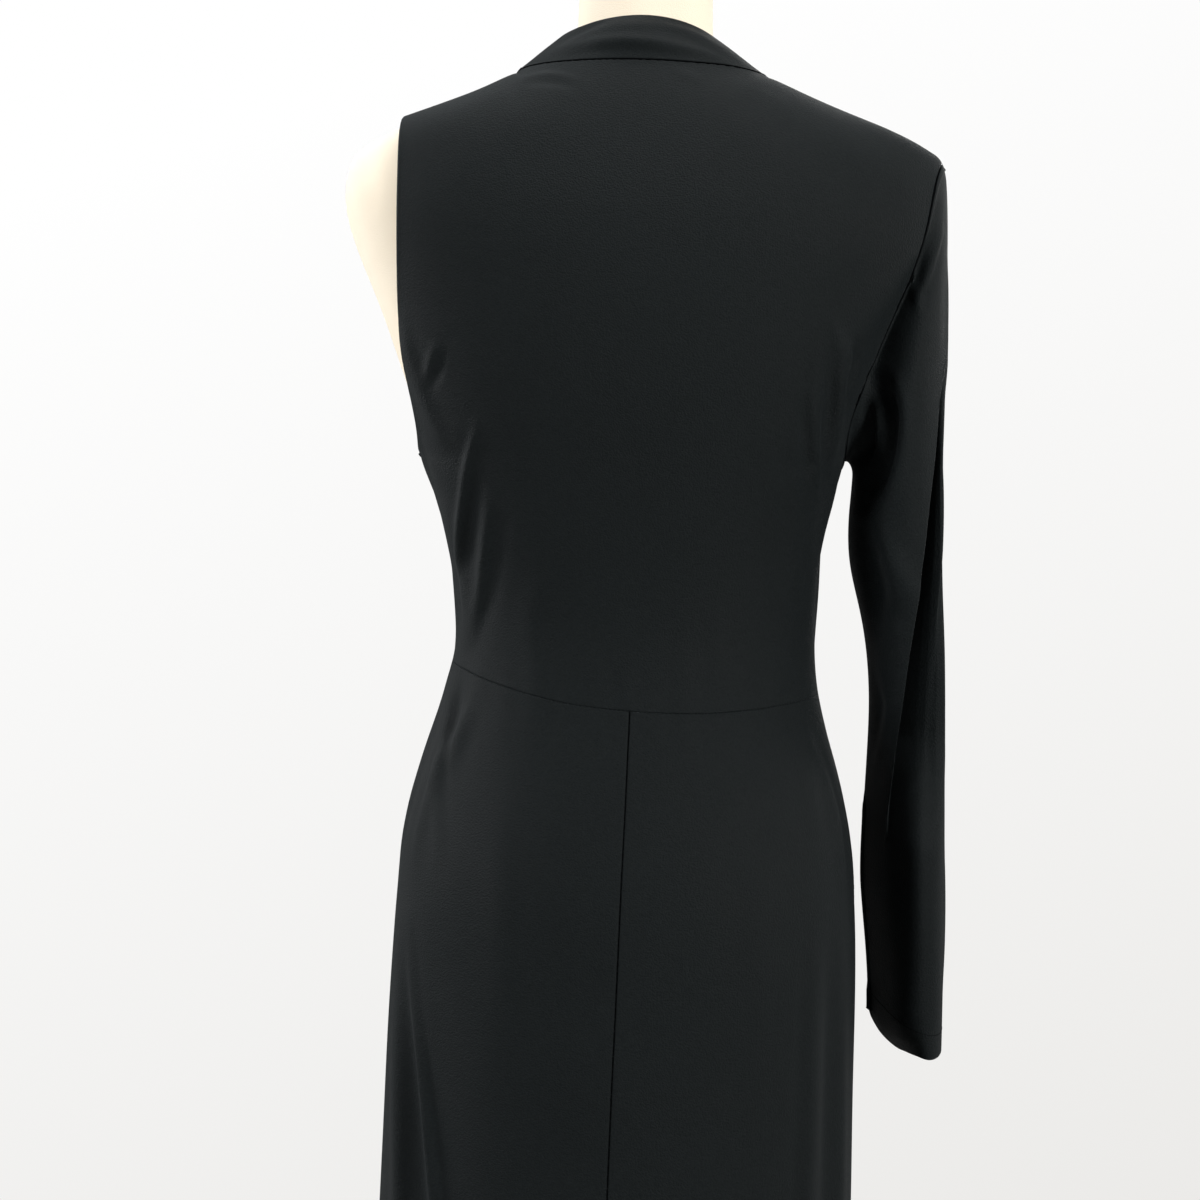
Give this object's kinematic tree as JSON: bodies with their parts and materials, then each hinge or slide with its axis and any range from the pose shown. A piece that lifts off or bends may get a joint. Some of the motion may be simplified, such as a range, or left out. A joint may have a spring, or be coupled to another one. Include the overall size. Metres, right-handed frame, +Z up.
{
  "type": "one-sleeved gown on a limbless dress form",
  "caption": "Full-length column gown with a draped funnel collar, a bare left armhole and a long set-in right sleeve, standing on a smooth limbless dress form with a round base.",
  "frame": {"origin": "middle of the underside of the stand's round base", "axes": "+Z up along the pole; +X to the wearer's left; +Y out of the wearer's back"},
  "size_m": [0.4353, 0.34, 1.535],
  "materials": {
    "jersey": "matt black stretch jersey",
    "form_cover": "smooth cream cloth cover",
    "stand_steel": "brushed"
  },
  "bodies": {
    "root": {"bodice_back": "jersey", "bodice_front": "jersey", "sleeve_right": "jersey", "collar": "jersey", "skirt_back_left": "jersey", "skirt_back_right": "jersey", "skirt_front": "jersey", "form_torso": "form_cover", "form_pole": "stand_steel", "form_base": "stand_steel"}
  },
  "joints": []
}
